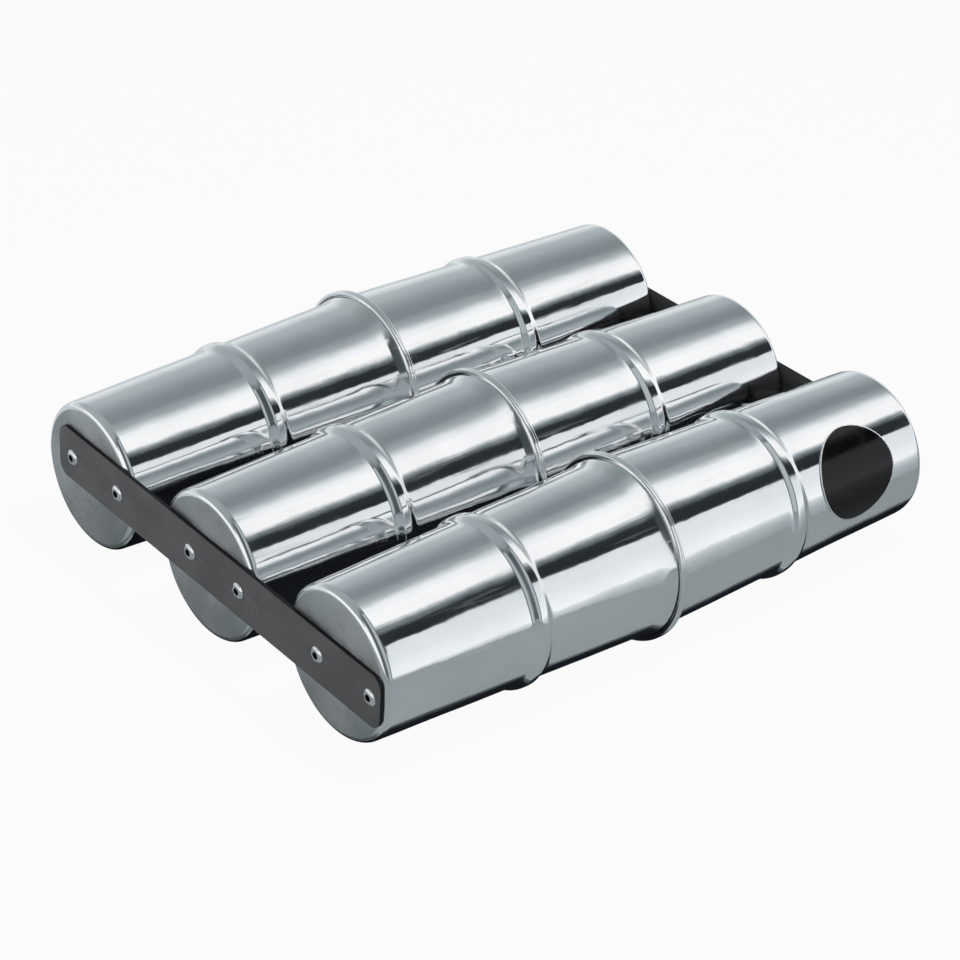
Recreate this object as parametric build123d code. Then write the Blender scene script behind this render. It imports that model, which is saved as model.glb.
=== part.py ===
from build123d import *
import math
import os

# A three-row hand shaker: three closed sheet-metal tubes side by side, each made of two drawn cups,
# riveted at both ends to a flat bar, with loose steel shot inside every tube.
# Sizes are in millimetres. X runs along the tubes, Y across the row (front is -Y) and Z is up.

# Drawn cups: every tube is two of them, mouth to mouth
tube_length = 250.0
tube_gap = 4.1
end_diameter = 57.0
mouth_diameter = 65.0
sheet_thickness = 0.8
end_edge_radius = 3.0

# Rounded bead swaged round the wall of every cup
bead_station = 60.0
bead_height = 1.6
bead_foot_width = 7.6
bead_crest_width = 3.0
bead_foot_radius = 1.5
bead_crest_radius = 2.5

# Mouths: the left cup flares out slowly, the right cup turns up short and is hemmed over the left flange
left_flare_length = 6.0
left_flare_radius = 18.0
right_flare_length = 2.5
right_flare_radius = 1.0
flare_rise = 1.4
flange_height = 1.2
flange_bend_radius = 0.8
hem_depth = 1.4
hem_corner_radius = 1.0
seam_clearance = 0.05
hem_headroom = 0.2

# Flat bars across the tube ends
bar_end_margin = 7.3
bar_width = 21.2
bar_thickness = 1.5
bar_corner_radius = 5.0

# The left bar was riveted on by eye: nearer the front, a little high and slightly out of level
left_bar_shift = -4.3
left_bar_rise = 2.0
left_bar_tilt = 2.3

# Its row of holes was marked by eye as well, so the row is not quite on the middle line of the bar
left_row_shift = -1.8
left_row_rise = 0.15
left_row_tilt = -0.5

# Blind rivets, two through each bar into each tube end
rivet_spacing = 29.4
rivet_shank_diameter = 3.2
rivet_head_diameter = 6.4
rivet_head_rim = 0.3
rivet_head_height = 1.1
rivet_mouth_diameter = 2.8
rivet_tail_diameter = 4.8
rivet_tail_length = 3.0
rivet_tail_radius = 0.7
rivet_clearance = 0.05

# Broken-off mandrel left in each rivet
mandrel_diameter = 1.8
mandrel_recess = 0.6
mandrel_head_diameter = 2.8
mandrel_head_length = 1.2
mandrel_clearance = 0.05

# Steel shot: a bed lying in the belly of the tube, and loose shot in the grooves on top of it
shot_diameter = 4.5
shot_clearance = 0.3
bed_rows = 5
bed_length = 50.0
loose_length = 20.0

# Round stick-on label on the front tube, between the bead and the closed end of the right cup
label_diameter = 37.0
label_thickness = 0.2
label_adhesive = 0.2
label_shift = -1.9
label_angle = 23.0

tubes = {"front": -1, "middle": 0, "rear": 1}
ends = {"left": -1, "right": 1}
flares = {"left": (left_flare_length, left_flare_radius), "right": (right_flare_length, right_flare_radius)}

cup_length = tube_length / 2
half_sheet = sheet_thickness / 2
flange_foot = mouth_diameter / 2 - half_sheet + flare_rise
flange_edge = flange_foot + flange_height
seam_radius = flange_edge + hem_headroom + sheet_thickness
axis_height = seam_radius
tube_pitch = 2 * seam_radius + tube_gap
bar_length = 2 * (tube_pitch + rivet_spacing / 2 + bar_end_margin)
shot_radius = shot_diameter / 2
shot_spacing = shot_diameter + shot_clearance


def wall_radius(station):
    """Outer radius of the tapering wall at a distance from the seam."""
    taper = (end_diameter - mouth_diameter) / 2 / cup_length
    return mouth_diameter / 2 + taper * station


def tube_place(tube):
    """The middle of a tube, on its axis."""
    return Pos(0, tubes[tube] * tube_pitch, axis_height)


def bar_place(end):
    """The middle of a bar's inner face, turned to the way it was riveted on."""
    if end == "left":
        return Pos(-cup_length, left_bar_shift, axis_height + left_bar_rise) * Rot(X=left_bar_tilt)
    return Pos(cup_length, 0, axis_height)


def row_place(end):
    """The middle of a bar's row of rivets, on the bar's inner face."""
    if end == "left":
        return bar_place(end) * Pos(0, left_row_shift, left_row_rise) * Rot(X=left_row_tilt)
    return bar_place(end)


def rivet_places(tube, end):
    """Where the two rivets of a tube end cross the bar's inner face."""
    along_row = [tubes[tube] * tube_pitch + side * rivet_spacing / 2 for side in (-1, 1)]
    return [row_place(end) * Pos(0, y, 0) for y in along_row]


def drill_for_rivets(piece, places):
    """Drill a clearance hole along X at each place, right through the piece."""
    drill_length = 2 * (bar_thickness + sheet_thickness)
    drill = Rot(Y=90) * Cylinder(rivet_shank_diameter / 2 + rivet_clearance, drill_length)
    return piece - [place * drill for place in places]


def cup_wall_points(end):
    """Mid-sheet points from the centre of the closed end to the foot of the flare, with bend radii."""
    side = ends[end]
    flare_length, flare_radius = flares[end]
    end_station = cup_length - half_sheet
    foot = bead_foot_width / 2
    crest = bead_crest_width / 2
    stations = [end_station, bead_station + foot, bead_station + crest]
    stations += [bead_station - crest, bead_station - foot, flare_length]
    lifts = [0, 0, bead_height, bead_height, 0, 0]
    points = [(side * end_station, 0)]
    points += [(side * s, wall_radius(s) - half_sheet + lift) for s, lift in zip(stations, lifts)]
    radii = [end_edge_radius - half_sheet, bead_foot_radius, bead_crest_radius]
    radii += [bead_crest_radius, bead_foot_radius, flare_radius]
    return points, radii


def make_cup(tube, end):
    """A drawn cup: the left one ends in a plain flange, the right one is hemmed over that flange."""
    points, radii = cup_wall_points(end)
    layer = sheet_thickness + seam_clearance
    if end == "left":
        points += [(0, flange_foot), (0, flange_edge)]
        radii += [flange_bend_radius]
    else:
        crest = seam_radius - half_sheet
        points += [(layer, flange_foot), (layer, crest), (-layer, crest)]
        points += [(-layer, seam_radius - hem_depth)]
        hem_bend = hem_corner_radius - half_sheet
        radii += [flange_bend_radius, hem_bend, hem_bend]
    sheet = trace(FilletPolyline(*points, radius=radii), sheet_thickness)
    cup = tube_place(tube) * revolve(sheet, Axis.X)
    return drill_for_rivets(cup, rivet_places(tube, end))


def make_bar(end):
    """A flat strap with rounded ends, drilled for every rivet."""
    strap = extrude(RectangleRounded(bar_length, bar_width, bar_corner_radius), bar_thickness)
    strap = Rot(Z=90) * Rot(X=90) * strap
    if end == "left":
        strap = Rot(Z=180) * strap
    holes = [place for tube in tubes for place in rivet_places(tube, end)]
    return drill_for_rivets(bar_place(end) * strap, holes)


def facing_out(end):
    """Turns a fastener made along +X so that its head faces out of that end."""
    return Rot(Z=180) if end == "left" else Rot()


def make_rivet():
    """A set blind rivet about X: domed head outside the bar, bulged tail inside the cup."""
    bore = mandrel_diameter / 2 + mandrel_clearance
    shank = rivet_shank_diameter / 2
    head = rivet_head_diameter / 2
    mouth = rivet_mouth_diameter / 2
    seat = bar_thickness
    top = seat + rivet_head_height
    shoulder = -sheet_thickness - rivet_clearance
    tail_end = shoulder - rivet_tail_length
    tail = rivet_tail_diameter / 2
    dome_start = (seat + rivet_head_rim, head)
    dome_end = (top, mouth)
    dome_drop = (rivet_head_height - rivet_head_rim) / 4
    dome_middle = (top - dome_drop, (head + mouth) / 2)
    outline = [
        Polyline(dome_end, (top - mandrel_recess, bore), (tail_end, bore), (tail_end, shank)),
        FilletPolyline(
            (tail_end, shank), (tail_end, tail), (shoulder, tail), (shoulder, shank), radius=rivet_tail_radius
        ),
        Polyline((shoulder, shank), (seat, shank), (seat, head), dome_start),
        ThreePointArc(dome_start, dome_middle, dome_end),
    ]
    return revolve(make_face(outline), Axis.X)


def make_mandrel():
    """The stub of the pulling pin: broken off below the rivet's mouth, its head behind the tail."""
    stem_top = bar_thickness + rivet_head_height - mandrel_recess
    head_face = -sheet_thickness - 2 * rivet_clearance - rivet_tail_length
    stem_length = stem_top - head_face
    stem = Pos(head_face + stem_length / 2) * Rot(Y=90) * Cylinder(mandrel_diameter / 2, stem_length)
    head = Rot(Y=90) * Cylinder(mandrel_head_diameter / 2, mandrel_head_length)
    return stem + Pos(head_face - mandrel_head_length / 2) * head


def fasteners(tube, end, fastener):
    """The two copies of a fastener that hold one tube end to its bar."""
    return Compound([place * facing_out(end) * fastener for place in rivet_places(tube, end)])


def row_stations(row_length):
    """Even stations of the shot in one row, centred on the seam."""
    count = int(row_length // shot_spacing) + 1
    return [(i - (count - 1) / 2) * shot_spacing for i in range(count)]


def bed_radius(station):
    """Distance from the tube's axis to the middle of shot lying on the wall."""
    return wall_radius(abs(station)) - sheet_thickness - shot_clearance - shot_radius


def shot_at(station, radius, angle):
    """One pellet, its angle counted from straight below the tube's axis."""
    turn = math.radians(angle)
    return Pos(station, radius * math.sin(turn), -radius * math.cos(turn)) * Sphere(shot_radius)


# The rows stand one shot spacing apart where the bed is narrowest, at its two ends.
bed_stations = row_stations(bed_length)
narrow_radius = bed_radius(bed_stations[-1])
row_angle = 2 * math.degrees(math.asin(shot_spacing / 2 / narrow_radius))
loose_radius = narrow_radius * math.cos(math.radians(row_angle / 2)) - shot_spacing * math.sqrt(3) / 2


def make_bed(tube):
    """Rows of shot lying on the wall, either side of straight down."""
    angles = [(row - (bed_rows - 1) / 2) * row_angle for row in range(bed_rows)]
    return Compound([tube_place(tube) * shot_at(s, bed_radius(s), a) for a in angles for s in bed_stations])


def make_loose_shot(tube):
    """Rows of shot in the grooves of the bed, every other row set half a spacing along."""
    pellets = []
    for row in range(bed_rows - 1):
        angle = (row - (bed_rows - 2) / 2) * row_angle
        stagger = shot_spacing / 4 * (-1) ** row
        pellets += [shot_at(s + stagger, loose_radius, angle) for s in row_stations(loose_length)]
    return Compound([tube_place(tube) * pellet for pellet in pellets])


def make_label():
    """A thin round label wrapped on the wall of the front tube's right cup."""
    plain_wall = (bead_station + bead_foot_width / 2, cup_length - end_edge_radius)
    station = sum(plain_wall) / 2 + label_shift
    lift = label_adhesive + label_thickness / 2
    line = Line(*[(s, wall_radius(s) + lift) for s in (station - label_diameter, station + label_diameter)])
    skin = revolve(trace(line, label_thickness), Axis.X)
    wall = wall_radius(station)
    wrapped_half_width = wall * math.sin(label_diameter / 2 / wall)
    cutter = extrude(Ellipse(label_diameter / 2, wrapped_half_width), mouth_diameter)
    disc = skin & (Pos(station) * Rot(X=90 - label_angle) * cutter)
    return tube_place("front") * disc


pieces = {"round_label": make_label()}
rivet = make_rivet()
mandrel = make_mandrel()
for end in ends:
    pieces[f"{end}_bar"] = make_bar(end)
    for tube in tubes:
        pieces[f"{tube}_tube_{end}_cup"] = make_cup(tube, end)
        pieces[f"{tube}_{end}_rivets"] = fasteners(tube, end, rivet)
        pieces[f"{tube}_{end}_rivet_mandrels"] = fasteners(tube, end, mandrel)
for tube in tubes:
    pieces[f"{tube}_shot_bed"] = make_bed(tube)
    pieces[f"{tube}_loose_shot"] = make_loose_shot(tube)

os.makedirs("parts", exist_ok=True)
for name, piece in pieces.items():
    export_step(piece, f"parts/{name}.step")
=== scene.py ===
import bpy
import math
from mathutils import Matrix, Vector


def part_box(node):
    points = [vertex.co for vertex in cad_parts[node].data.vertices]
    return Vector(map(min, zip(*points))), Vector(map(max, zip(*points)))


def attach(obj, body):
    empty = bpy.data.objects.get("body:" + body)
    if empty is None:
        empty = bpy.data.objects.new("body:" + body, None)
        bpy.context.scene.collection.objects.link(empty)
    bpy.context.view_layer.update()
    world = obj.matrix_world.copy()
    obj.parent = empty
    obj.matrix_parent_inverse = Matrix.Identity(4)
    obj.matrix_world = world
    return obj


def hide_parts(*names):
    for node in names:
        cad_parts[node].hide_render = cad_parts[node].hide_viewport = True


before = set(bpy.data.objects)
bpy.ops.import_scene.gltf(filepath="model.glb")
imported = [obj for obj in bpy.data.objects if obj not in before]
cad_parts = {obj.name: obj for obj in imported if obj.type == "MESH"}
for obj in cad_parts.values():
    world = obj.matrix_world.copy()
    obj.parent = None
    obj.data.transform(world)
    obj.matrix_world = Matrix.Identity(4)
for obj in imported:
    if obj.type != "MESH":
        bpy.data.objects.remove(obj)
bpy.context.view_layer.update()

# Drawn cups: every tube is two cups of soft aluminium sheet, drawn, tapered and polished by hand.
# They stand mouth to mouth. Each has a flat closed end, a swaged bead and a flared mouth, and the
# right cup's flange is hemmed over the left cup's, which makes the ridge round the middle.
tubes = ("front", "middle", "rear")
ends = {"left": -1, "right": 1}
seam_low, seam_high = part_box("front_tube_right_cup")
cup_length = seam_high.x
seam_radius = (seam_high.z - seam_low.z) / 2
axis_height = (seam_high.z + seam_low.z) / 2
front_axis_y = (seam_high.y + seam_low.y) / 2
tube_pitch = -front_axis_y
sheet_thickness = 0.0008
half_sheet = sheet_thickness / 2
mouth_radius = 0.0325
end_radius = 0.0285
end_edge_radius = 0.003
bead_station = 0.060
bead_height = 0.0016
bead_foot = 0.0038
bead_crest = 0.0015
bead_foot_radius = 0.004
bead_crest_radius = 0.0025
flares = {"left": (0.006, 0.018), "right": (0.0025, 0.001)}
flare_rise = 0.0014
flange_bend_radius = 0.0008
hem_depth = 0.0014
hem_bend_radius = 0.00045
hem_groove = 0.0005
hem_layer = 0.001
tucked_edge_depth = 0.0012
cup_sides = 192
wall_run = 0.002
bend_step = math.radians(6)
smooth_angle = math.radians(40)
shank_hole_radius = 0.00165
drill_sides = 32
rivet_head_radius = 0.0032
hand_wave_length = 0.04
hand_wave_height = 0.0004
end_facing = 0.97
rings_to_metre = 18000.0
ring_height = 0.00005


def wall_radius(station):
    """Outer radius of the tapering wall at a distance from the seam."""
    return mouth_radius + (end_radius - mouth_radius) * station / cup_length


def draw_section(corners, bends, axis_y, axis_z, longest_run):
    """Draws half of a turned piece's section: straight runs, and corners spun to their bends."""
    bpy.ops.object.select_all(action="DESELECT")
    corners = [Vector(corner) for corner in corners]
    pen = corners[0]
    bpy.ops.mesh.primitive_plane_add(size=longest_run, location=(0, 0, 0))
    bpy.ops.object.mode_set(mode="EDIT")
    bpy.ops.mesh.select_mode(type="VERT")
    bpy.ops.mesh.merge(type="CENTER")
    bpy.ops.transform.translate(value=(pen.x, axis_y, axis_z + pen.y))
    for number, corner in enumerate(corners[1:]):
        heading = (corner - pen).normalized()
        is_last = number == len(bends)
        turn = 0 if is_last else heading.angle_signed(corners[number + 2] - corner)
        cut_back = 0 if is_last else bends[number] * abs(math.tan(turn / 2))
        run = (corner - pen).length - cut_back
        strokes = math.ceil(run / longest_run)
        stroke = heading * run / strokes
        for _ in range(strokes):
            bpy.ops.mesh.extrude_vertices_move(TRANSFORM_OT_translate={"value": (stroke.x, 0, stroke.y)})
        pen = pen + heading * run
        if cut_back > 0:
            inward = Vector((heading.y, -heading.x)) * math.copysign(bends[number], turn)
            centre = pen + inward
            bpy.ops.mesh.spin(
                steps=math.ceil(abs(turn) / bend_step),
                angle=turn,
                center=(centre.x, axis_y, axis_z + centre.y),
                axis=(0, -1, 0),
            )
            pen = corner + (corners[number + 2] - corner).normalized() * cut_back


def spin_section(axis_y, axis_z, sides):
    """Spins the drawn section round its axis, closes the seam and the poles, and gives the piece."""
    bpy.ops.mesh.select_all(action="SELECT")
    bpy.ops.mesh.spin(steps=sides, angle=math.tau, center=(0, axis_y, axis_z), axis=(1, 0, 0))
    bpy.ops.mesh.select_all(action="SELECT")
    bpy.ops.mesh.remove_doubles(threshold=0.000001)
    bpy.ops.mesh.normals_make_consistent(inside=False)
    bpy.ops.object.mode_set(mode="OBJECT")
    return bpy.context.object


def choose(piece):
    """Makes a piece the only one that the next operator acts on."""
    bpy.ops.object.select_all(action="DESELECT")
    piece.select_set(True)
    bpy.context.view_layer.objects.active = piece


def work(piece, kind, **settings):
    """Adds a modifier to a piece, sets it up and applies it."""
    choose(piece)
    bpy.ops.object.modifier_add(type=kind)
    modifier = piece.modifiers[-1]
    for name, value in settings.items():
        setattr(modifier, name, value)
    bpy.ops.object.modifier_apply(modifier=modifier.name)


def pick(piece, kind, wanted):
    """Goes into edit mode with only the wanted faces or edges of a piece selected."""
    choose(piece)
    bpy.ops.object.mode_set(mode="EDIT")
    bpy.ops.mesh.select_mode(type=kind)
    bpy.ops.mesh.select_all(action="DESELECT")
    bpy.ops.object.mode_set(mode="OBJECT")
    for part in piece.data.polygons if kind == "FACE" else piece.data.edges:
        part.select = wanted(part)
    bpy.ops.object.mode_set(mode="EDIT")


def repaint(piece, finish, wanted):
    """Gives the wanted faces of a piece a finish of their own."""
    piece.data.materials.append(finish)
    pick(piece, "FACE", wanted)
    piece.active_material_index = len(piece.data.materials) - 1
    bpy.ops.object.material_slot_assign()
    bpy.ops.object.mode_set(mode="OBJECT")


def copy_along(piece, name, shift):
    """A copy of a piece with its own mesh, moved by a shift that is applied to the mesh."""
    choose(piece)
    bpy.ops.object.duplicate(linked=False)
    copy = bpy.context.object
    copy.name = name
    copy.location = shift
    bpy.ops.object.transform_apply(location=True, rotation=False, scale=False)
    return copy


def rivet_places(node):
    """Y and Z of the two rivets of a node, from the corners of its box."""
    low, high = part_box(node)
    inset = rivet_head_radius
    return [(low.y + inset, low.z + inset), (high.y - inset, high.z - inset)]


def drill(piece, x, depth, places):
    """Drills a shank hole along X at each place, right through the sheet."""
    for y, z in places:
        bpy.ops.object.select_all(action="DESELECT")
        bpy.ops.mesh.primitive_cylinder_add(
            vertices=drill_sides,
            radius=shank_hole_radius,
            depth=depth,
            location=(x, y, z),
            rotation=(0, math.pi / 2, 0),
        )
        bit = bpy.context.object
        work(piece, "BOOLEAN", object=bit, operation="DIFFERENCE", solver="EXACT")
        bpy.data.objects.remove(bit)


def cup_section(end):
    """Corners and bends of a cup's sheet, from the middle of its closed end to its flange's edge."""
    side = ends[end]
    flare_length, flare_radius = flares[end]
    end_station = cup_length - half_sheet
    stations = [end_station, bead_station + bead_foot, bead_station + bead_crest]
    stations += [bead_station - bead_crest, bead_station - bead_foot, flare_length]
    lifts = [0, 0, bead_height, bead_height, 0, 0]
    corners = [(side * end_station, 0)]
    corners += [(side * s, wall_radius(s) - half_sheet + lift) for s, lift in zip(stations, lifts)]
    bends = [end_edge_radius - half_sheet, bead_foot_radius, bead_crest_radius]
    bends += [bead_crest_radius, bead_foot_radius, flare_radius, flange_bend_radius]
    flange_foot = mouth_radius - half_sheet + flare_rise
    crest = seam_radius - half_sheet
    if end == "left":
        corners += [(0, flange_foot), (0, seam_radius - tucked_edge_depth)]
        return corners, bends
    corners += [(hem_layer, flange_foot), (hem_layer, crest), (0, crest - hem_groove)]
    corners += [(-hem_layer, crest), (-hem_layer, seam_radius - hem_depth)]
    return corners, bends + [hem_bend_radius] * 3


class Shade:
    """One socket of a finish. Arithmetic on it adds Math nodes to the same finish."""

    def __init__(self, socket):
        self.socket = socket

    def add(self, kind, output=0, settings=None, **sockets):
        """Adds a node, sets it up, feeds its sockets and gives an output. A socket i2 is the third."""
        tree = self.socket.id_data
        node = tree.nodes.new(kind)
        for name, value in (settings or {}).items():
            setattr(node, name, value)
        for name, value in sockets.items():
            key = int(name[1:]) if name[1:].isdigit() else name
            Shade(node.inputs[key]).take(value)
        return Shade(node.outputs[output])

    def take(self, value):
        """Feeds this socket from another one, or sets it to a constant."""
        if isinstance(value, Shade):
            self.socket.id_data.links.new(value.socket, self.socket)
        else:
            self.socket.default_value = value

    def maths(self, operation, first, second):
        return self.add("ShaderNodeMath", settings={"operation": operation}, i0=first, i1=second)

    def __add__(self, other):
        return self.maths("ADD", self, other)

    def __radd__(self, other):
        return self.maths("ADD", other, self)

    def __sub__(self, other):
        return self.maths("SUBTRACT", self, other)

    def __rsub__(self, other):
        return self.maths("SUBTRACT", other, self)

    def __mul__(self, other):
        return self.maths("MULTIPLY", self, other)

    def __rmul__(self, other):
        return self.maths("MULTIPLY", other, self)

    def between(self, low, high):
        """0 below one value, 1 above another, and smooth between them."""
        steps = {"interpolation_type": "SMOOTHSTEP"}
        return self.add("ShaderNodeMapRange", 0, steps, Value=self, i1=low, i2=high)

    def noise(self, scale, detail=3.0, stretch=(1, 1, 1)):
        """Cloudy variation from 0 to 1 over the piece, with grains this many to the metre."""
        place = self.add("ShaderNodeTexCoord", "Object")
        place = self.add("ShaderNodeMapping", Vector=place, Scale=[scale * s for s in stretch])
        return self.add("ShaderNodeTexNoise", "Fac", Vector=place, Scale=1.0, Detail=detail)

    def blend(self, first, second):
        """One colour where this is 0, another where it is 1."""
        ends_of_blend = {"i6": (*first, 1), "i7": (*second, 1)}
        return self.add("ShaderNodeMix", 2, {"data_type": "RGBA"}, i0=self, **ends_of_blend)

    def ramp(self, stops):
        """Colours along a way, each stop a share of the way and the colour there."""
        shade = self.add("ShaderNodeValToRGB", Fac=self)
        colours = shade.socket.node.color_ramp.elements
        for share, _ in stops[1:-1]:
            colours.new(share)
        for element, (_, colour) in zip(colours, stops):
            element.color = (*colour, 1)
        return shade

    def bump(self, height, distance):
        """A surface normal tilted by a height, whose whole range is this many metres."""
        return self.add("ShaderNodeBump", "Normal", Height=height, Distance=distance)


def new_finish(name, **constants):
    """A new material with these constant settings, and the sockets of its shader by name."""
    material = bpy.data.materials.new(name)
    material.use_nodes = True
    shader = material.node_tree.nodes["Principled BSDF"]
    sockets = {socket.name: Shade(socket) for socket in shader.inputs}
    for socket, value in constants.items():
        sockets[socket.replace("_", " ")].take(value)
    return material, sockets


def polished_wall():
    """Hand-polished aluminium, with lines round the tube, scratches along it and a faint haze."""
    material, shader = new_finish("polished_aluminium", Metallic=1.0)
    start = shader["Base Color"]
    haze = start.noise(35, 4).between(0.35, 0.75)
    lines = start.noise(900, 3, (1, 0.01, 0.01))
    scratches = start.noise(500, 3, (0.04, 1, 1)).between(0.58, 0.68)
    waves = start.noise(90, 2)
    shader["Base Color"].take(haze.blend((0.93, 0.935, 0.94), (0.87, 0.88, 0.89)))
    shader["Roughness"].take(0.045 + haze * 0.05 + lines * 0.04 + scratches * 0.1)
    shader["Normal"].take(start.bump(waves + lines * 0.02 + scratches * 0.04, 0.0001))
    return material


def satin_end():
    """The closed end: dull satin sheet, mottled, with scratches and the fine rings of its rubbing."""
    material, shader = new_finish("satin_aluminium", Metallic=1.0)
    start = shader["Base Color"]
    mottle = start.noise(60, 5).between(0.3, 0.7)
    grain = start.noise(2500, 3)
    scratches = start.noise(700, 2, (1, 1, 0.04)).between(0.62, 0.7)
    shader["Base Color"].take(mottle.blend((0.66, 0.68, 0.685), (0.47, 0.485, 0.50)))
    place = start.add("ShaderNodeTexCoord", "Object")
    y, z = [start.add("ShaderNodeSeparateXYZ", way, Vector=place) for way in "YZ"]
    half_pitch = tube_pitch / 2
    across = start.add("ShaderNodeMath", 0, {"operation": "WRAP"}, i0=y, i1=half_pitch, i2=-half_pitch)
    upward = z - axis_height
    reach = start.maths("POWER", across * across + upward * upward, 0.5)
    one_way = {"noise_dimensions": "1D"}
    rings = start.add("ShaderNodeTexNoise", 0, one_way, W=reach, Scale=rings_to_metre, Detail=0.0)
    shader["Roughness"].take(0.32 + mottle * 0.08 - scratches * 0.08)
    shader["Normal"].take(start.bump(rings + 0.2 * (grain + scratches * 0.6 + mottle), ring_height))
    return material


def lies_on_end(face):
    """True for a face of the flat closed end of a cup."""
    return abs(face.center.x) > cup_length - 2 * sheet_thickness and abs(face.normal.x) > end_facing


wall_finish = polished_wall()
end_finish = satin_end()
hand_waves = bpy.data.textures.new("hand_waves", "CLOUDS")
hand_waves.noise_scale = hand_wave_length
cups = {}
for end, side in ends.items():
    draw_section(*cup_section(end), front_axis_y, axis_height, wall_run)
    plain_cup = spin_section(front_axis_y, axis_height, cup_sides)
    for tube in tubes:
        node = f"{tube}_tube_{end}_cup"
        low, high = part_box(node)
        shift = (0, (low.y + high.y) / 2 - front_axis_y, 0)
        cup = copy_along(plain_cup, f"{tube}_{end}_cup_shell", shift)
        work(
            cup,
            "DISPLACE",
            texture=hand_waves,
            texture_coords="GLOBAL",
            strength=hand_wave_height,
            mid_level=0.5,
        )
        work(cup, "SOLIDIFY", thickness=sheet_thickness, offset=0, use_even_offset=True)
        drill(cup, side * cup_length, 4 * sheet_thickness, rivet_places(f"{tube}_{end}_rivets"))
        bpy.ops.object.shade_smooth_by_angle(angle=smooth_angle)
        cup.data.materials.append(wall_finish)
        repaint(cup, end_finish, lies_on_end)
        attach(cup, "casing")
        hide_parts(node)
        cups[tube, end] = cup
    bpy.data.objects.remove(plain_cup)

# Shot: loose steel balls sealed inside every tube, some lying on the wall and some on top of those.
# They are plain bearing steel, dulled and greyed by rubbing on the aluminium.


def rubbed_steel():
    """Ball steel: grey, half polished, with darker rubbed patches."""
    material, shader = new_finish("rubbed_steel", Metallic=1.0)
    start = shader["Base Color"]
    patches = start.noise(600, 4).between(0.4, 0.65)
    shader["Base Color"].take(patches.blend((0.58, 0.57, 0.56), (0.36, 0.36, 0.36)))
    shader["Roughness"].take(0.18 + patches * 0.25)
    shader["Normal"].take(start.bump(patches, 0.00001))
    return material


shot_finish = rubbed_steel()
for tube in tubes:
    for lot in ("shot_bed", "loose_shot"):
        for material_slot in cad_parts[f"{tube}_{lot}"].material_slots:
            material_slot.material = shot_finish

# Flat bars: two straps cut from steel strip with rounded corners, drilled, and coated dark grey.
# One is riveted across each row of closed ends. The left one was put on by eye and sits out of true.
bar_length = 0.195
bar_width = 0.0212
bar_thickness = 0.0015
bar_corner_radius = 0.005
bar_corner_steps = 14
bar_edge_break = 0.0005
bar_edge_steps = 3
bar_sharp_angle = math.radians(60)
bar_smooth_angle = math.radians(35)
bar_edge_facing = 0.3
bar_tilts = {"left": math.radians(2.3), "right": 0}


def dark_coating():
    """Baked-on dark grey coating: matt, finely pebbled, a little uneven in tone."""
    material, shader = new_finish("dark_coating", Specular_IOR_Level=0.35)
    start = shader["Base Color"]
    uneven = start.noise(60, 4).between(0.3, 0.7)
    pebble = start.noise(1800, 3)
    shader["Base Color"].take(uneven.blend((0.070, 0.071, 0.074), (0.092, 0.093, 0.096)))
    shader["Roughness"].take(0.5 + uneven * 0.08 + pebble * 0.08)
    shader["Normal"].take(start.bump(pebble, 0.00002))
    return material


def cut_edge():
    """The sheared edges of the strip: near black, much darker than the face, and a little smoother."""
    material, shader = new_finish("cut_edge", Specular_IOR_Level=0.2)
    start = shader["Base Color"]
    streaks = start.noise(1500, 3, (1, 0.05, 0.05))
    shader["Base Color"].take(streaks.blend((0.006, 0.006, 0.007), (0.014, 0.014, 0.015)))
    shader["Roughness"].take(0.4 + streaks * 0.2)
    shader["Normal"].take(start.bump(streaks, 0.00001))
    return material


def runs_through(bar, edge):
    """True for an edge that runs through the bar's thickness."""
    first, last = (bar.data.vertices[number].co for number in edge.vertices)
    return abs(first.x - last.x) > bar_thickness / 2


bar_finish = dark_coating()
edge_finish = cut_edge()
for end in ends:
    low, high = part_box(f"{end}_bar")
    bpy.ops.object.select_all(action="DESELECT")
    bpy.ops.mesh.primitive_cube_add(
        size=1, location=(low + high) / 2, scale=(bar_thickness, bar_length, bar_width)
    )
    bar = bpy.context.object
    bar.name = f"{end}_strap"
    bpy.ops.object.transform_apply(location=False, rotation=False, scale=True)
    pick(bar, "EDGE", lambda edge: runs_through(bar, edge))
    bpy.ops.mesh.bevel(offset=bar_corner_radius, segments=bar_corner_steps, affect="EDGES")
    bpy.ops.object.mode_set(mode="OBJECT")
    bar.rotation_euler.x = bar_tilts[end]
    bpy.ops.object.transform_apply(location=True, rotation=True, scale=False)
    for tube in tubes:
        drill(bar, (low.x + high.x) / 2, 4 * bar_thickness, rivet_places(f"{tube}_{end}_rivets"))
    work(
        bar,
        "BEVEL",
        width=bar_edge_break,
        segments=bar_edge_steps,
        limit_method="ANGLE",
        angle_limit=bar_sharp_angle,
    )
    bpy.ops.object.shade_smooth_by_angle(angle=bar_smooth_angle)
    bar.data.materials.append(bar_finish)
    repaint(bar, edge_finish, lambda face: abs(face.normal.x) < bar_edge_facing)
    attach(bar, "casing")
    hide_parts(f"{end}_bar")

# Blind rivets: two through each bar into each closed end, drawn up from outside.
# Bright aluminium, with a low dome outside the bar and a bulged tail inside the cup.
rivet_shank_radius = 0.0016
rivet_bore_radius = 0.00095
rivet_mouth_radius = 0.0014
rivet_head_rim = 0.0003
rivet_head_height = 0.0011
rivet_crown_share = 0.72
rivet_recess = 0.0009
rivet_tail_radius = 0.0024
rivet_tail_length = 0.003
rivet_clearance = 0.00005
rivet_sides = 48


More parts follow.
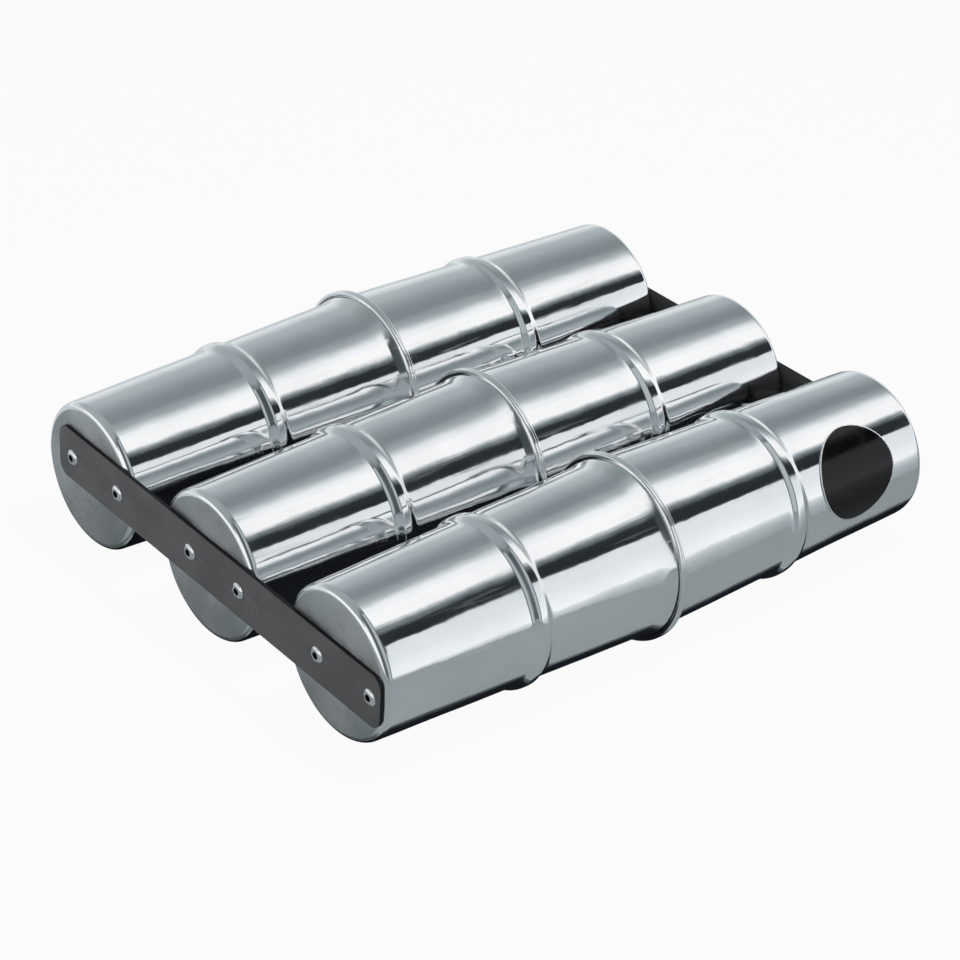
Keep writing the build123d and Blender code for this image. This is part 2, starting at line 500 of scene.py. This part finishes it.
def rivet_section(side):
    """Corners and bends of a set rivet about its own axis, its bar's inner face at the closed ends."""
    top = bar_thickness + rivet_head_height
    shoulder = -sheet_thickness - rivet_clearance
    tail_end = shoulder - rivet_tail_length
    head = rivet_head_radius
    corners = [(tail_end, rivet_bore_radius), (top - rivet_recess, rivet_bore_radius)]
    corners += [(top, rivet_mouth_radius), (top, head * rivet_crown_share)]
    corners += [(bar_thickness + rivet_head_rim, head), (bar_thickness, head)]
    corners += [(bar_thickness, rivet_shank_radius), (shoulder, rivet_shank_radius)]
    corners += [(shoulder, rivet_tail_radius), (tail_end, rivet_tail_radius)]
    corners += [(tail_end, rivet_bore_radius)]
    bends = [0, 0.00015, 0.002, 0.0003, 0.0001, 0, 0, 0.0007, 0.0007]
    return [(side * (cup_length + x), r) for x, r in corners], bends


def bright_rivet():
    """Soft bright aluminium, scuffed by the setting tool."""
    material, shader = new_finish("bright_aluminium", Metallic=1.0)
    start = shader["Base Color"]
    scuffs = start.noise(900, 4).between(0.4, 0.7)
    shader["Base Color"].take(scuffs.blend((0.90, 0.90, 0.90), (0.76, 0.77, 0.78)))
    shader["Roughness"].take(0.14 + scuffs * 0.14)
    shader["Normal"].take(start.bump(scuffs, 0.00001))
    return material


def painted_bore_shade():
    """Painted shade for the mouth and the bore: near black for the shade deep in the hole, a little
    mottled.
    """
    material, shader = new_finish("painted_bore_shade", Specular_IOR_Level=0.1)
    start = shader["Base Color"]
    bore_mottle = start.noise(1500, 3, (0.2, 1, 1))
    shader["Base Color"].take(bore_mottle.blend((0.006, 0.006, 0.006), (0.02, 0.02, 0.02)))
    shader["Roughness"].take(0.4 + bore_mottle * 0.2)
    shader["Normal"].take(start.bump(bore_mottle, 0.00001))
    return material


def lies_in_bore(face, places):
    """True for a face of a rivet's mouth or bore, inside the rim of the mouth at one of the places."""
    reaches = [math.hypot(face.center.y - y, face.center.z - z) for y, z in places]
    return min(reaches) < rivet_mouth_radius


def set_pairs(kind, section, sides, finish, slot):
    """Turns a fastener at each rivet place, joins the two of every closed end and gives the pairs."""
    pairs = {}
    for end, side in ends.items():
        for tube in tubes:
            pair = []
            for y, z in rivet_places(f"{tube}_{end}_rivets"):
                draw_section(*section(side), y, z, cup_length)
                pair.append(spin_section(y, z, sides))
            choose(pair[0])
            pair[1].select_set(True)
            bpy.ops.object.join()
            fastener = bpy.context.object
            fastener.name = f"{tube}_{end}_{kind}"
            bpy.ops.object.shade_smooth_by_angle(angle=smooth_angle)
            fastener.data.materials.append(finish)
            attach(fastener, "casing")
            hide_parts(f"{tube}_{end}_{slot[0]}")
            pairs[tube, end] = fastener
    return pairs


bore_shade_finish = painted_bore_shade()
rivet_slot = ("rivets", "rivet_aluminium")
rivet_pairs = set_pairs("set_rivets", rivet_section, rivet_sides, bright_rivet(), rivet_slot)
# Painted shade: each rivet's mouth and bore faces get the near-black finish, for the shade deep in the
# hole.
for (tube, end), rivets in rivet_pairs.items():
    places = rivet_places(f"{tube}_{end}_rivets")
    repaint(rivets, bore_shade_finish, lambda face: lies_in_bore(face, places))

# Mandrels: the steel pins that drew the rivets up, snapped off below the mouth and left inside.
# Drawn wire painted near black for the shade in the rivet's mouth, necked and rough at the break, with
# an upset head behind the tail.
mandrel_radius = 0.0009
mandrel_head_radius = 0.0014
mandrel_head_length = 0.0012
mandrel_neck = 0.00035
mandrel_tear_share = 0.6
mandrel_sides = 32


def mandrel_section(side):
    """Corners and bends of a broken mandrel, from the break to the back of its head."""
    top = bar_thickness + rivet_head_height - rivet_recess
    head_face = -sheet_thickness - 2 * rivet_clearance - rivet_tail_length
    head_back = head_face - mandrel_head_length
    corners = [(top - mandrel_neck, 0), (top, mandrel_radius * mandrel_tear_share)]
    corners += [(top - mandrel_neck, mandrel_radius), (head_face, mandrel_radius)]
    corners += [(head_face, mandrel_head_radius)]
    corners += [(head_back, mandrel_head_radius), (head_back, 0)]
    bends = [0.0001, 0, 0, 0.0002, 0.0006]
    return [(side * (cup_length + x), r) for x, r in corners], bends


def broken_wire():
    """Steel wire painted near black for the shade in the rivet's mouth, and darker and rougher where it
    tore.
    """
    material, shader = new_finish("broken_wire", Metallic=1.0)
    start = shader["Base Color"]
    torn = start.noise(2600, 4).between(0.35, 0.7)
    shader["Base Color"].take(torn.blend((0.07, 0.07, 0.07), (0.025, 0.025, 0.025)))
    shader["Roughness"].take(0.35 + torn * 0.3)
    shader["Normal"].take(start.bump(torn, 0.00004))
    return material


mandrel_slot = ("rivet_mandrels", "mandrel_steel")
set_pairs("mandrels", mandrel_section, mandrel_sides, broken_wire(), mandrel_slot)

# Round label: a plain disc of glossy black vinyl with a narrow pale border, stuck on the front tube.
# It is cut flat and follows the curve of the wall, so it is narrower round the tube than along it.
label_radius = 0.0185
label_thickness = 0.0002
label_gap = 0.0002
label_border = 0.0004
label_rings = 10
label_sides = 96
label_angle = math.radians(23)
label_low, label_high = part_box("round_label")
label_station = (label_low.x + label_high.x) / 2
label_wall = wall_radius(label_station)
label_wrap = label_wall * math.sin(label_radius / label_wall) / label_radius
label_stand_off = 0.006


def black_vinyl():
    """Black vinyl with dust, faint rubs and the slight ripple of its adhesive."""
    material, shader = new_finish("black_vinyl", Specular_IOR_Level=0.3)
    start = shader["Base Color"]
    rubs = start.noise(250, 4).between(0.45, 0.75)
    ripple = start.noise(300, 2)
    shader["Base Color"].take(rubs.blend((0.003, 0.003, 0.0035), (0.006, 0.006, 0.0065)))
    shader["Roughness"].take(0.14 + rubs * 0.1)
    shader["Normal"].take(start.bump(ripple, 0.00002))
    return material


def pale_border():
    """The same vinyl left uncoloured along the edge: off-white and a little soiled."""
    material, shader = new_finish("pale_border")
    start = shader["Base Color"]
    soil = start.noise(400, 4).between(0.4, 0.8)
    shader["Base Color"].take(soil.blend((0.86, 0.87, 0.87), (0.72, 0.73, 0.73)))
    shader["Roughness"].take(0.3 + soil * 0.2)
    shader["Normal"].take(start.bump(soil, 0.00001))
    return material


def lies_on_border(face):
    """True for a face of the label's outermost ring, its edge included."""
    along = face.center - label_centre
    upward = along.dot(outward.cross(Vector((1, 0, 0)))) / label_wrap
    return math.hypot(along.x, upward) > label_radius - label_border


outward = Vector((0, -math.cos(label_angle), math.sin(label_angle)))
label_axis = Vector((label_station, front_axis_y, axis_height))
label_centre = label_axis + outward * (label_wall + label_stand_off)
bpy.ops.object.select_all(action="DESELECT")
bpy.ops.mesh.primitive_circle_add(
    vertices=label_sides, radius=label_radius, fill_type="NGON", location=label_centre
)
label = bpy.context.object
label.name = "plain_round_label"
bpy.ops.object.mode_set(mode="EDIT")
bpy.ops.mesh.inset(thickness=label_border)
for ring in range(label_rings):
    bpy.ops.mesh.inset(thickness=(label_radius - label_border) / (label_rings + 1))
bpy.ops.object.mode_set(mode="OBJECT")
label.scale.y = label_wrap
label.rotation_euler.x = math.pi / 2 - label_angle
bpy.ops.object.transform_apply(location=False, rotation=False, scale=True)
work(
    label,
    "SHRINKWRAP",
    target=cups["front", "right"],
    wrap_method="PROJECT",
    use_project_z=True,
    use_negative_direction=True,
    use_positive_direction=False,
    offset=label_gap,
)
work(label, "SOLIDIFY", thickness=label_thickness, offset=1, use_even_offset=True)
bpy.ops.object.transform_apply(location=True, rotation=True, scale=False)
bpy.ops.object.shade_smooth_by_angle(angle=smooth_angle)
label.data.materials.append(black_vinyl())
repaint(label, pale_border(), lies_on_border)
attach(label, "casing")
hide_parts("round_label")

# Studio: a pale floor, a white surround, and glowing sheets that only the metal mirrors. These are a
# white card in front, a black flag above it, a grey ceiling back to a pale rear card, dark flags on the
# camera's side, painted light on the floor, and painted shade under the shaker: a dark sheet where
# little light gets in.
floor_size = 12
floor_white = 0.95
shade_reach = 0.5
clear_reach = 1.0


def stage_plane(name, location, size_x, size_y, tilt=0):
    """A flat stage sheet, tilted about X."""
    bpy.ops.object.select_all(action="DESELECT")
    bpy.ops.mesh.primitive_plane_add(size=1, location=location, rotation=(tilt, 0, 0))
    sheet = bpy.context.object
    sheet.name = name
    sheet.scale = (size_x, size_y, 1)
    return sheet


def ray_kinds(start):
    """1 for rays from the camera, for reflected rays and for rays through glass."""
    names = ("Is Camera Ray", "Is Glossy Ray", "Is Transmission Ray")
    return [start.add("ShaderNodeLightPath", name) for name in names]


def pale_floor():
    """Pale grey board, lit and shaded, near white to the camera and, further off, to the metal."""
    material, shader = new_finish("pale_floor", Roughness=0.9, Specular_IOR_Level=0.0)
    start = shader["Base Color"]
    fleck = start.noise(40, 3)
    shader["Base Color"].take(fleck.blend((0.30, 0.34, 0.35), (0.33, 0.37, 0.38)))
    camera, glossy, through = ray_kinds(start)
    place = start.add("ShaderNodeNewGeometry", "Position")
    reach = start.add("ShaderNodeVectorMath", "Value", {"operation": "LENGTH"}, i0=place)
    clear = reach.between(shade_reach, clear_reach)
    share = floor_white * (camera + through + glossy * clear)
    white = start.add("ShaderNodeEmission", Color=(1, 1, 1, 1), Strength=1.0)
    nodes = material.node_tree.nodes
    lit = Shade(nodes["Principled BSDF"].outputs[0])
    Shade(nodes["Material Output"].inputs["Surface"]).take(
        start.add("ShaderNodeMixShader", i0=share, i1=lit, i2=white)
    )
    return material


def card_paint(name, tones, way):
    """A card that glows evenly by itself, its grey changing along one way of its sheet, a little cool in
    the dark.
    """
    material, shader = new_finish(name)
    nodes = material.node_tree.nodes
    start = shader["Base Color"]
    across = start.add("ShaderNodeTexCoord", "UV")
    across = start.add("ShaderNodeSeparateXYZ", way, Vector=across)
    stops = []
    for share, tone in tones:
        cool = min(0.005, tone * 0.25)
        stops.append((share, (tone * (0.82 + 0.16 * tone), tone, tone * 1.03 + cool)))
    glow = start.add("ShaderNodeEmission", Color=across.ramp(stops), Strength=1.0)
    Shade(nodes["Material Output"].inputs["Surface"]).take(glow)
    return material


def hang_card(name, first, last, reach, tones, way="Y"):
    """A card between two lines along X, each at a Y and a height above the axes, over a reach of X."""
    first = Vector((sum(reach) / 2, first[0], axis_height + first[1]))
    last = Vector((sum(reach) / 2, last[0], axis_height + last[1]))
    run = last - first
    tilt = math.atan2(run.z, run.y)
    card = stage_plane(name, (first + last) / 2, reach[1] - reach[0], run.length, tilt)
    card.data.materials.append(card_paint(name, tones, way))
    card.visible_camera = False
    card.visible_diffuse = False
    card.visible_shadow = False


floor = stage_plane("floor", (0, 0, 0), floor_size, floor_size)
floor.data.materials.append(pale_floor())
floor_drop = 0.001 - axis_height
side_edge = 0.05
card_front = -0.6
card_rear = 1.6
ceiling_rise = 0.49
hang_card(
    "front_card",
    (card_front, floor_drop),
    (card_front, 0.45),
    (side_edge, 1.4),
    [(0, 0.98), (0.2, 0.92), (0.45, 0.84), (1, 0.79)],
)
# Painted light: a glowing floor sheet seen only in reflections, brighter towards the white card as if
# lit by it.
hang_card(
    "floor_glow",
    (-0.17, floor_drop),
    (card_front, floor_drop),
    (side_edge, 1.4),
    [(0, 0.36), (0.4, 0.62), (0.85, 0.83), (1, 0.95)],
)
hang_card(
    "black_flag",
    (-0.44, 0.294),
    (-0.285, 0.465),
    (side_edge, 1.6),
    [(0, 0.02), (0.55, 0.03), (0.8, 0.25), (1, 0.8)],
)
hang_card(
    "grey_ceiling",
    (-0.12, ceiling_rise),
    (card_rear, ceiling_rise),
    (side_edge, 1.8),
    [(0, 0.97), (0.035, 0.93), (0.09, 0.44), (0.16, 0.27), (0.22, 0.27), (0.45, 0.44), (1, 0.55)],
)
# Painted shade: a near-black sheet on the floor under the shaker, seen only in reflections, for the
# shadow under and between the tubes.
hang_card(
    "floor_shade",
    (-0.103, floor_drop),
    (0.11, floor_drop),
    (-0.125, 0.16),
    [(0, 0.15), (0.02, 0.01), (1, 0.004)],
)
rear_reach = (-1.2, 1.8)
rear_tones = [(0, 0.6), (1, 0.85)]
hang_card("rear_card", (card_rear, ceiling_rise), (card_rear, floor_drop), rear_reach, rear_tones)
# Painted light: a glowing floor sheet behind the shaker, seen only in reflections, as pale as the rear
# card.
hang_card("rear_glow", (0.17, floor_drop), (card_rear, floor_drop), rear_reach, rear_tones)
hang_card(
    "side_flag",
    (-0.62, floor_drop),
    (-0.1, 0.6),
    (-0.9, side_edge),
    [(0, 0.95), (0.25, 0.3), (0.45, 0.08), (0.6, 0.12)]
    + [(0.75, 0.5), (0.88, 0.5), (0.96, 0.08), (1, 0.06)],
    "X",
)
hang_card(
    "side_ceiling",
    (-0.1, ceiling_rise),
    (card_rear, ceiling_rise),
    (-1.2, side_edge),
    [(0, 0.15), (0.06, 0.35), (1, 0.5)],
)

ambient_light = 0.12
world = bpy.data.worlds.new("white_surround")
bpy.context.scene.world = world
world.use_nodes = True
surround = Shade(world.node_tree.nodes["Background"].inputs["Strength"])
world.node_tree.nodes["Background"].inputs["Color"].default_value = (1, 1, 1, 1)
camera_ray, glossy_ray, through_ray = ray_kinds(surround)
surround.take(ambient_light + (1 - ambient_light) * (camera_ray + glossy_ray + through_ray))


def hang_lamp(name, location, size, energy):
    """A soft square lamp turned to the middle of the shaker, which the metal does not mirror."""
    bpy.ops.object.light_add(type="AREA", location=location)
    lamp = bpy.context.object
    lamp.name = name
    lamp.data.shape = "SQUARE"
    lamp.data.size = size
    lamp.data.energy = energy
    towards = Vector((0, 0, axis_height)) - lamp.location
    lamp.rotation_euler = towards.to_track_quat("-Z", "Y").to_euler()
    lamp.visible_glossy = False


hang_lamp("overhead_lamp", (0.05, -0.3, 0.9), 0.15, 6.5)
hang_lamp("side_lamp", (-0.9, 0.25, 0.14), 0.2, 4.6)

# Camera: a long lens, a little above and to the left of the front corner, rolled slightly.
# It stands where the outlines, beads and rivets fall as they do in the photograph.
view_azimuth = math.radians(-39.681)
view_elevation = math.radians(31.094)
view_roll = math.radians(1.731)
view_distance = 1.1247
view_target = Vector((-0.04073, -0.04636, axis_height + 0.02816))
lens_in_pixels = 3207.46
picture_width = 960
sensor_width = 36

back = Vector((
    math.sin(view_azimuth) * math.cos(view_elevation),
    -math.cos(view_azimuth) * math.cos(view_elevation),
    math.sin(view_elevation),
))
bpy.ops.object.camera_add(location=view_target + back * view_distance)
camera = bpy.context.object
camera.data.sensor_width = sensor_width
camera.data.lens = lens_in_pixels * sensor_width / picture_width
level = (-back).to_track_quat("-Z", "Y").to_matrix()
camera.rotation_euler = (level @ Matrix.Rotation(view_roll, 3, "Z")).to_euler()
bpy.context.scene.camera = camera
bpy.context.scene.view_settings.view_transform = "Standard"
